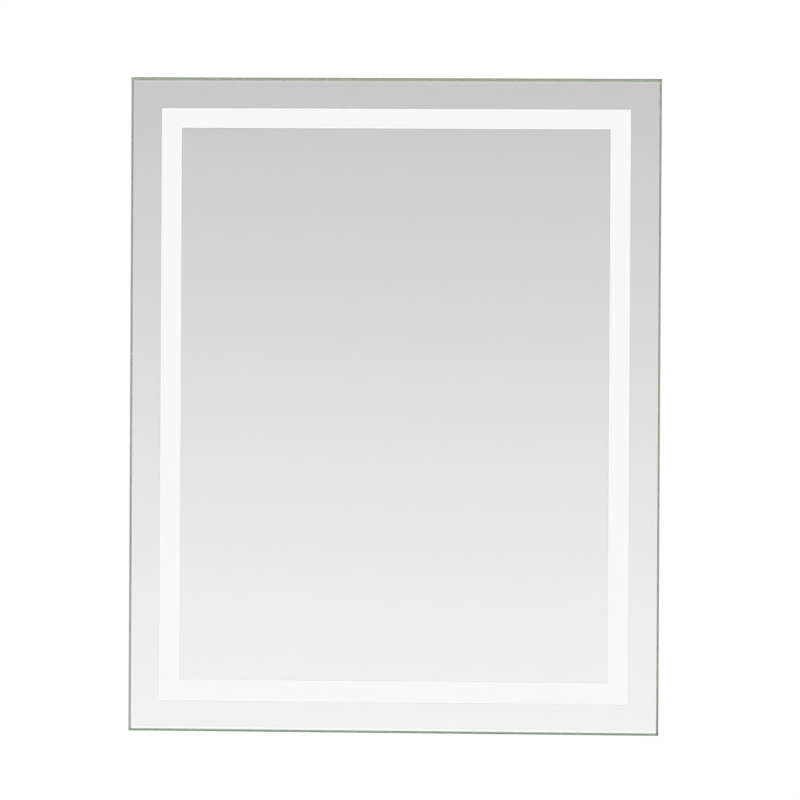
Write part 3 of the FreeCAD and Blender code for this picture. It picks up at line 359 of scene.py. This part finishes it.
# painted reflection: a lighter tan patch low on the right side
painted_tan_patch = m.math("MULTIPLY", right_side, m.math("MULTIPLY", m.span(z, -0.575, -0.625, 0, 1, True), m.span(z, -0.695, -0.670, 0, 1, True)))
lacquer_and_reflection = m.mix(m.math("MULTIPLY", painted_tan_patch, 0.9), lacquer_and_reflection, (0.66, 0.59, 0.40))
ll, lr, lb, lt = (m.span(d, 0.0045, 0.004) for d in m.sides(glo, ghi))
# the left side painted greener: partly lacquer colour, partly painted reflection
lacquer_and_reflection = m.mix(m.math("MULTIPLY", ll, 0.7), lacquer_and_reflection, (0.43, 0.53, 0.44))
# painted light and shade: the left side painted lighter, the right darker, the bottom a little lighter
painted_light_and_shade = m.math("ADD", m.math("MULTIPLY", ll, 0.25), m.math("MULTIPLY", lr, -0.08))
painted_light_and_shade = m.math("ADD", m.math("ADD", painted_light_and_shade, 1.0), m.math("MULTIPLY", lb, 0.04))
# painted light: the top side painted lighter, most near the glass edge
near = m.math("MULTIPLY", lt, m.span(m.least(m.sides(glo, ghi)), 0.0026, 0.0018, 0.26, 0.66))
painted_light_and_shade = m.math("ADD", painted_light_and_shade, near)
m.set("color", m.tint(m.gain(lacquer_and_reflection, painted_light_and_shade), fine, 0.02))
m.set("normal", m.bump(fine, 0.00002, 0.4))
lacquer = m.m
give(lacquer, "edge_seal")

# ------------------------------------------------------------------- plastics
m = Mat("opal_acrylic", rough=0.35, ior=1.49, sub=0.3, sub_scale=0.003)
m.set("color", m.tint((0.86, 0.86, 0.85), m.noise(700.0, 2.0), 0.02))
m.set("rough", m.span(m.noise(50.0), 0.3, 0.7, 0.3, 0.42))
opal = m.m
give(opal, "diffuser_top", "diffuser_bottom", "diffuser_left", "diffuser_right")

m = Mat("foam_tape", rough=0.85)
cell = m.cells(1400.0, "Distance")
m.set("color", m.tint((0.10, 0.10, 0.105), cell, 0.3))
m.set("normal", m.bump(cell, 0.0003, 0.7))
foam = m.m
give(foam, "bonding_tape", "driver_box_gasket")


def moulded(name, base, rough=(0.42, 0.58), grain=1900.0, deep=0.00006, spread=0.03, **more):
    """Injection moulded plastic with a spark-eroded skin and a little dust."""
    m = Mat(name, ior=1.5, **more)
    g = m.noise(grain, 3.0, 0.65)
    w = m.noise(11.0, 4.0, 0.6)
    m.set("color", m.tint(m.tint(base, w, spread), g, spread))
    m.set("rough", m.math("ADD", m.span(w, 0.3, 0.7, rough[0], rough[1]), m.span(g, 0.3, 0.7, -0.04, 0.04)))
    m.set("normal", m.bump(g, deep, 0.55, m.rounded(0.0004)))
    return m.m


box_plastic = moulded("box_plastic", (0.62, 0.62, 0.60))
give(box_plastic, "driver_box", "driver_box_lid", "cord_clamp")
give(moulded("driver_case_plastic", (0.70, 0.70, 0.69), grain=2400.0), "led_driver")
give(moulded("terminal_nylon", (0.72, 0.73, 0.68), rough=(0.3, 0.42), grain=2600.0, deep=0.00002, sub=0.2, sub_scale=0.002), "terminal_block")
give(moulded("clip_nylon", (0.78, 0.78, 0.74), rough=(0.35, 0.5), grain=2600.0, deep=0.00002), "lead_clips")

m = Mat("black_rubber", ior=1.5, sheen=0.15)
g = m.noise(1300.0, 3.0, 0.7)
w = m.noise(60.0, 4.0, 0.6)
m.set("color", m.mix(m.span(w, 0.42, 0.72), (0.018, 0.018, 0.019), (0.05, 0.05, 0.048)))
m.set("rough", m.span(w, 0.3, 0.7, 0.55, 0.78))
m.set("normal", m.bump(g, 0.00008, 0.6))
rubber = m.m
give(rubber, "wall_bumpers", "cable_grommet", "lead_grommet", "earth_grommet")


def wire(name, base):
    m = Mat(name, ior=1.52, rough=0.35)
    g = m.noise(500.0, 3.0, 0.6)
    m.set("color", m.tint(base, m.noise(45.0, 3.0), 0.1))
    m.set("rough", m.span(g, 0.3, 0.7, 0.3, 0.45))
    m.set("normal", m.bump(g, 0.00003, 0.4))
    return m.m


give(wire("wire_brown", (0.16, 0.07, 0.035)), "mains_lead_brown")
give(wire("wire_blue", (0.02, 0.13, 0.42)), "mains_lead_blue")
give(wire("wire_red", (0.45, 0.02, 0.02)), "led_lead_red")
give(wire("wire_black", (0.02, 0.02, 0.022)), "led_lead_black", "strip_jumpers")
m = Mat("wire_earth", ior=1.52, rough=0.36)
x, y, z = m.xyz()
stripe = m.math("SINE", m.math("ADD", m.math("MULTIPLY", x, 1430.0), m.math("MULTIPLY", z, 120.0)))
edge = m.span(stripe, -0.12, 0.12)
m.set("color", m.tint(m.mix(edge, (0.05, 0.30, 0.06), (0.78, 0.62, 0.03)), m.noise(60.0), 0.08))
m.set("rough", m.span(m.noise(500.0), 0.3, 0.7, 0.3, 0.44))
give(m.m, "earth_lead")


# --------------------------------------------------------------------- metals
def drawn(name, base, axis, rough=(0.27, 0.40), fine=0.00002, spread=0.05):
    """Extruded and anodised aluminium, with the die's lines along one axis."""
    m = Mat(name, metal=1.0)
    s = {"x": (1.2, 1500, 1500), "z": (1500, 1500, 1.2)}[axis]
    s2 = {"x": (3.5, 260, 260), "z": (260, 260, 3.5)}[axis]
    l1 = m.noise(1.0, 3.0, 0.6, m.scaled(s))
    l2 = m.noise(1.0, 3.0, 0.6, m.scaled(s2))
    w = m.noise(14.0, 4.0, 0.55)
    m.set("color", m.tint(m.tint(base, l2, spread), w, 0.04))
    r = m.math("ADD", m.span(l1, 0.3, 0.7, rough[0], rough[1]), m.span(w, 0.35, 0.65, -0.03, 0.05))
    m.set("rough", r)
    m.set("normal", m.bump(m.math("ADD", l1, m.math("MULTIPLY", l2, 1.5)), fine, 0.5, m.rounded(0.00035)))
    return m.m


give(drawn("anodised_aluminium_across", (0.64, 0.65, 0.66), "x"), "frame_top", "frame_bottom")
give(drawn("anodised_aluminium_up", (0.64, 0.65, 0.66), "z"), "frame_left", "frame_right")


def plated(name, base, rough=(0.24, 0.40), scale=70.0, warm=(0.74, 0.72, 0.66), bevel=0.00025):
    """Zinc-plated steel: slightly uneven, with faint warm and blue passivation."""
    m = Mat(name, metal=1.0)
    w = m.noise(scale, 4.0, 0.6)
    g = m.noise(1500.0, 2.0, 0.6)
    m.set("color", m.tint(m.mix(m.span(w, 0.38, 0.70), base, warm), g, 0.05))
    m.set("rough", m.math("ADD", m.span(w, 0.3, 0.7, rough[0], rough[1]), m.span(g, 0.3, 0.7, -0.03, 0.03)))
    m.set("normal", m.bump(g, 0.00001, 0.5, m.rounded(bevel)))
    return m.m


give(plated("zinc_screws", (0.62, 0.64, 0.67)), "corner_key_screws", "panel_screws", "driver_screws", "driver_box_screws", "lid_screws",
     "cord_clamp_screws", "hanging_rail_screws", "hanging_rail_nuts", "earth_stud", "earth_nut")
give(plated("tinned_brass", (0.72, 0.72, 0.70), (0.2, 0.34), 120.0, (0.76, 0.70, 0.52)), "terminal_screws", "earth_tag")
give(plated("cast_zinc", (0.50, 0.51, 0.53), (0.42, 0.6), 150.0, (0.56, 0.56, 0.55)), "corner_keys")

# Hot-dip galvanised sheet: large angular spangles with different sheen.
m = Mat("galvanised_sheet", metal=1.0)
warp = m.noise(40.0, 3.0, 0.5)
n1 = m.node("ShaderNodeVectorMath", operation="MULTIPLY_ADD")
m.put(n1, 0, m.node("ShaderNodeTexNoise").outputs["Color"])
n1.inputs[1].default_value = (0.004, 0.004, 0.004)
m.put(n1, 2, m.coord())
n1.inputs[0].links[0].from_node.inputs["Scale"].default_value = 60.0
m.put(n1.inputs[0].links[0].from_node, "Vector", m.coord())
spangle = m.cells(95.0, "Color", vec=n1.outputs[0])
sep = m.node("ShaderNodeSeparateColor")
m.put(sep, 0, spangle)
a, b2, c3 = sep.outputs[0], sep.outputs[1], sep.outputs[2]
fern = m.noise(1.0, 4.0, 0.7, m.scaled((900, 900, 260), (0.3, 0.0, 0.4)))
haze = m.noise(3.5, 4.0, 0.6)
col = m.mix(a, (0.53, 0.55, 0.57), (0.64, 0.66, 0.68))
col = m.tint(m.tint(col, fern, 0.05), haze, 0.06)
m.set("color", col)
r = m.math("ADD", m.span(b2, 0.0, 1.0, 0.30, 0.42), m.span(haze, 0.3, 0.7, -0.03, 0.05))
m.set("rough", m.math("ADD", r, m.span(fern, 0.3, 0.7, -0.03, 0.03)))
m.set("normal", m.bump(m.math("ADD", m.math("MULTIPLY", c3, 0.5), fern), 0.000012, 0.6, m.rounded(0.0004)))
panel_steel = m.m
give(panel_steel, "back_panel")

# Rolled steel rails, bright zinc, with lines along the strip and rounded edges.
m = Mat("zinc_rail", metal=1.0)
l1 = m.noise(1.0, 3.0, 0.6, m.scaled((2.0, 1200, 1200)))
l2 = m.noise(1.0, 3.0, 0.6, m.scaled((7.0, 190, 190)))
w = m.noise(22.0, 4.0, 0.6)
col = m.mix(m.span(w, 0.36, 0.70), (0.60, 0.62, 0.65), (0.70, 0.69, 0.63))
m.set("color", m.tint(m.tint(col, l2, 0.06), l1, 0.04))
m.set("rough", m.math("ADD", m.span(l1, 0.3, 0.7, 0.24, 0.36), m.span(w, 0.3, 0.7, -0.04, 0.08)))
m.set("normal", m.bump(m.math("ADD", l1, l2), 0.000012, 0.5, m.rounded(0.0005)))
rail_steel = m.m
give(rail_steel, "hanging_rail", "wall_rail")


# ---------------------------------------------------------------- LED boards
def board(name, axis):
    """White solder mask with bare pads."""
    m = Mat(name, ior=1.5)
    x, y, z = m.xyz()
    run, across = (x, z) if axis == "x" else (z, x)
    pitch = m.math("FRACT", m.math("ADD", m.math("DIVIDE", run, 0.0165), 40.0))
    pad = m.math("MULTIPLY", m.span(m.math("ABSOLUTE", m.math("SUBTRACT", pitch, 0.02)), 0.06, 0.05), 1.0)
    g = m.noise(1200.0, 2.0)
    w = m.noise(30.0, 3.0)
    base = m.mix(pad, (0.80, 0.81, 0.80), (0.70, 0.50, 0.30))
    m.set("color", m.tint(m.tint(base, w, 0.03), g, 0.02))
    m.set("rough", m.span(w, 0.3, 0.7, 0.28, 0.42))
    m.set("normal", m.bump(m.math("ADD", pad, m.math("MULTIPLY", g, 0.2)), 0.00003, 0.6))
    return m.m


give(board("led_board_across", "x"), "led_strip_top", "led_strip_bottom")
give(board("led_board_up", "z"), "led_strip_left", "led_strip_right")

m = Mat("led_package", ior=1.5, rough=0.3, glow_power=1.5)
g = m.noise(700.0, 2.0)
m.set("color", m.mix(m.span(g, 0.45, 0.55), (0.85, 0.72, 0.30), (0.88, 0.80, 0.45)))
m.set("glow", m.mix(m.span(g, 0.4, 0.6), (1.0, 0.95, 0.86), (1.0, 0.98, 0.93)))
m.m.cycles.emission_sampling = "NONE"
give(m.m, "led_chips")

# ------------------------------------------------------------ floor and light
floor_z = glo.z - 0.30
bm = bmesh.new()
bmesh.ops.create_circle(bm, cap_ends=True, segments=96, radius=2.45)
me = bpy.data.meshes.new("studio_floor")
bm.to_mesh(me)
bm.free()
floor = bpy.data.objects.new("studio_floor", me)
floor.location = (0.0, -0.02, floor_z)
scene.collection.objects.link(floor)
m = Mat("pale_floor", rough=0.6)
m.set("color", m.tint((0.80, 0.80, 0.795), m.noise(2.0, 4.0), 0.015))
ln = m.node("ShaderNodeVectorMath", operation="LENGTH")
m.put(ln, 0, m.coord())
fade = m.span(ln.outputs["Value"], 1.1, 2.4, 0.0, 1.0, True)
clear = m.node("ShaderNodeBsdfTransparent")
mixer = m.node("ShaderNodeMixShader")
under = m.node("ShaderNodeNewGeometry").outputs["Backfacing"]
# it thins out towards its edge as a fine dust does, so no line marks where it ends
dust = m.node("ShaderNodeTexWhiteNoise", noise_dimensions="3D")
m.put(dust, "Vector", m.scaled((997.0, 991.0, 1.0)))
m.put(mixer, 0, m.math("MAXIMUM", m.math("GREATER_THAN", fade, dust.outputs["Value"]), under))
m.t.links.new(m.b.outputs[0], mixer.inputs[1])
m.t.links.new(clear.outputs[0], mixer.inputs[2])
m.t.links.new(mixer.outputs[0], m.out.inputs[0])
me.materials.append(m.m)

world = bpy.data.worlds.new("studio")
scene.world = world
world.use_nodes = True
t = world.node_tree
t.nodes.clear()


def wn(kind, **props):
    n = t.nodes.new(kind)
    for k, v in props.items():
        setattr(n, k, v)
    return n


def wmath(op, a, b=0.0, clamp=False):
    n = wn("ShaderNodeMath", operation=op, use_clamp=clamp)
    for i, v in enumerate((a, b)):
        if hasattr(v, "is_linked"):
            t.links.new(v, n.inputs[i])
        else:
            n.inputs[i].default_value = v
    return n.outputs[0]


def wspan(v, a, b, lo, hi, smooth=True):
    n = wn("ShaderNodeMapRange", interpolation_type="SMOOTHSTEP" if smooth else "LINEAR")
    t.links.new(v, n.inputs[0])
    for i, x in enumerate((a, b, lo, hi)):
        n.inputs[i + 1].default_value = x
    return n.outputs[0]


def wramp(v, stops):
    """Brightness along a straight-line curve through (height, brightness)."""
    n = wn("ShaderNodeValToRGB")
    n.color_ramp.interpolation = "LINEAR"
    e = n.color_ramp.elements
    while len(e) < len(stops):
        e.new(0.5)
    for el, (h, b) in zip(e, stops):
        el.position = (h + 1) / 2
        el.color = (b, b, b, 1)
    t.links.new(v, n.inputs[0])
    return n.outputs[0]


vec = wn("ShaderNodeTexCoord").outputs["Generated"]
sx = wn("ShaderNodeSeparateXYZ")
t.links.new(vec, sx.inputs[0])
vx, vy, vz = sx.outputs
h = wmath("ADD", wmath("MULTIPLY", vz, 0.5), 0.5)
GAIN = 1.19
# what the glass shows in the main view, by the height on the glass: a plain
# fall from light below to grey above, a little slower near its two ends
SEEN = [(-0.90, 0.935), (-0.69, 0.888), (-0.55, 0.849), (-0.40, 0.784), (-0.12, 0.657), (0.09, 0.577), (0.20, 0.56)]
front = wramp(h, [(-1.0, 0.40 * GAIN), (-0.55, 0.44 * GAIN), (-0.30, 0.50 * GAIN), (-0.17, 0.58 * GAIN), (-0.11, 0.76 * GAIN)] + [((zz + 0.1467) / 9.998, b * GAIN) for zz, b in SEEN]
              + [(0.10, 0.52 * GAIN), (0.22, 0.50 * GAIN), (0.5, 0.70 * GAIN), (1.0, 0.95 * GAIN)])
rear = wramp(h, [(-1.0, 0.40), (-0.3, 0.46), (-0.05, 0.58), (0.08, 0.34), (0.25, 0.40), (0.45, 0.88), (0.7, 1.0), (1.0, 0.8)])
which = wspan(vy, -0.25, 0.25, 0.0, 1.0)
mx = wn("ShaderNodeMix", data_type="RGBA")
t.links.new(which, mx.inputs[0])
t.links.new(front, mx.inputs[6])
t.links.new(rear, mx.inputs[7])
# brighter walls to the left and right, and a slight fall from left to right
side = wmath("ADD", wspan(vx, 0.20, 0.75, 0.0, -0.14), wspan(vx, -0.25, -0.75, 0.0, -0.06))
slant = wmath("ADD", wmath("ADD", wmath("MULTIPLY", vx, -0.05), 1.0), side)
sc = wn("ShaderNodeVectorMath", operation="SCALE")
t.links.new(mx.outputs[2], sc.inputs[0])
t.links.new(slant, sc.inputs[3])
around = wn("ShaderNodeBackground")
t.links.new(sc.outputs[0], around.inputs[0])
around.inputs[1].default_value = 1.0
white = wn("ShaderNodeBackground")
white.inputs[0].default_value = (1, 1, 1, 1)
white.inputs[1].default_value = 1.02
lp = wn("ShaderNodeLightPath")
ms = wn("ShaderNodeMixShader")
t.links.new(lp.outputs["Is Camera Ray"], ms.inputs[0])
t.links.new(around.outputs[0], ms.inputs[1])
t.links.new(white.outputs[0], ms.inputs[2])
wo = wn("ShaderNodeOutputWorld")
t.links.new(ms.outputs[0], wo.inputs[0])


def soft_box(name, at, size, power, target=(0.0, 0.0, -0.31)):
    d = bpy.data.lights.new(name, "AREA")
    d.shape = "RECTANGLE"
    d.size, d.size_y = size
    d.energy = power
    o = bpy.data.objects.new(name, d)
    o.location = at
    o.rotation_mode = "QUATERNION"
    o.rotation_quaternion = (Vector(target) - Vector(at)).to_track_quat("-Z", "Y")
    o.visible_camera = False
    scene.collection.objects.link(o)


soft_box("key_left", (-3.2, -3.4, 2.6), (1.8, 1.8), 60.0)
soft_box("fill_right", (3.8, -2.6, 1.4), (1.5, 2.2), 25.0)
soft_box("rear_left", (-2.8, 3.4, 2.4), (2.4, 2.4), 50.0)
soft_box("rear_right", (3.6, 2.8, 0.4), (2.2, 2.6), 24.0)

bpy.context.view_layer.update()
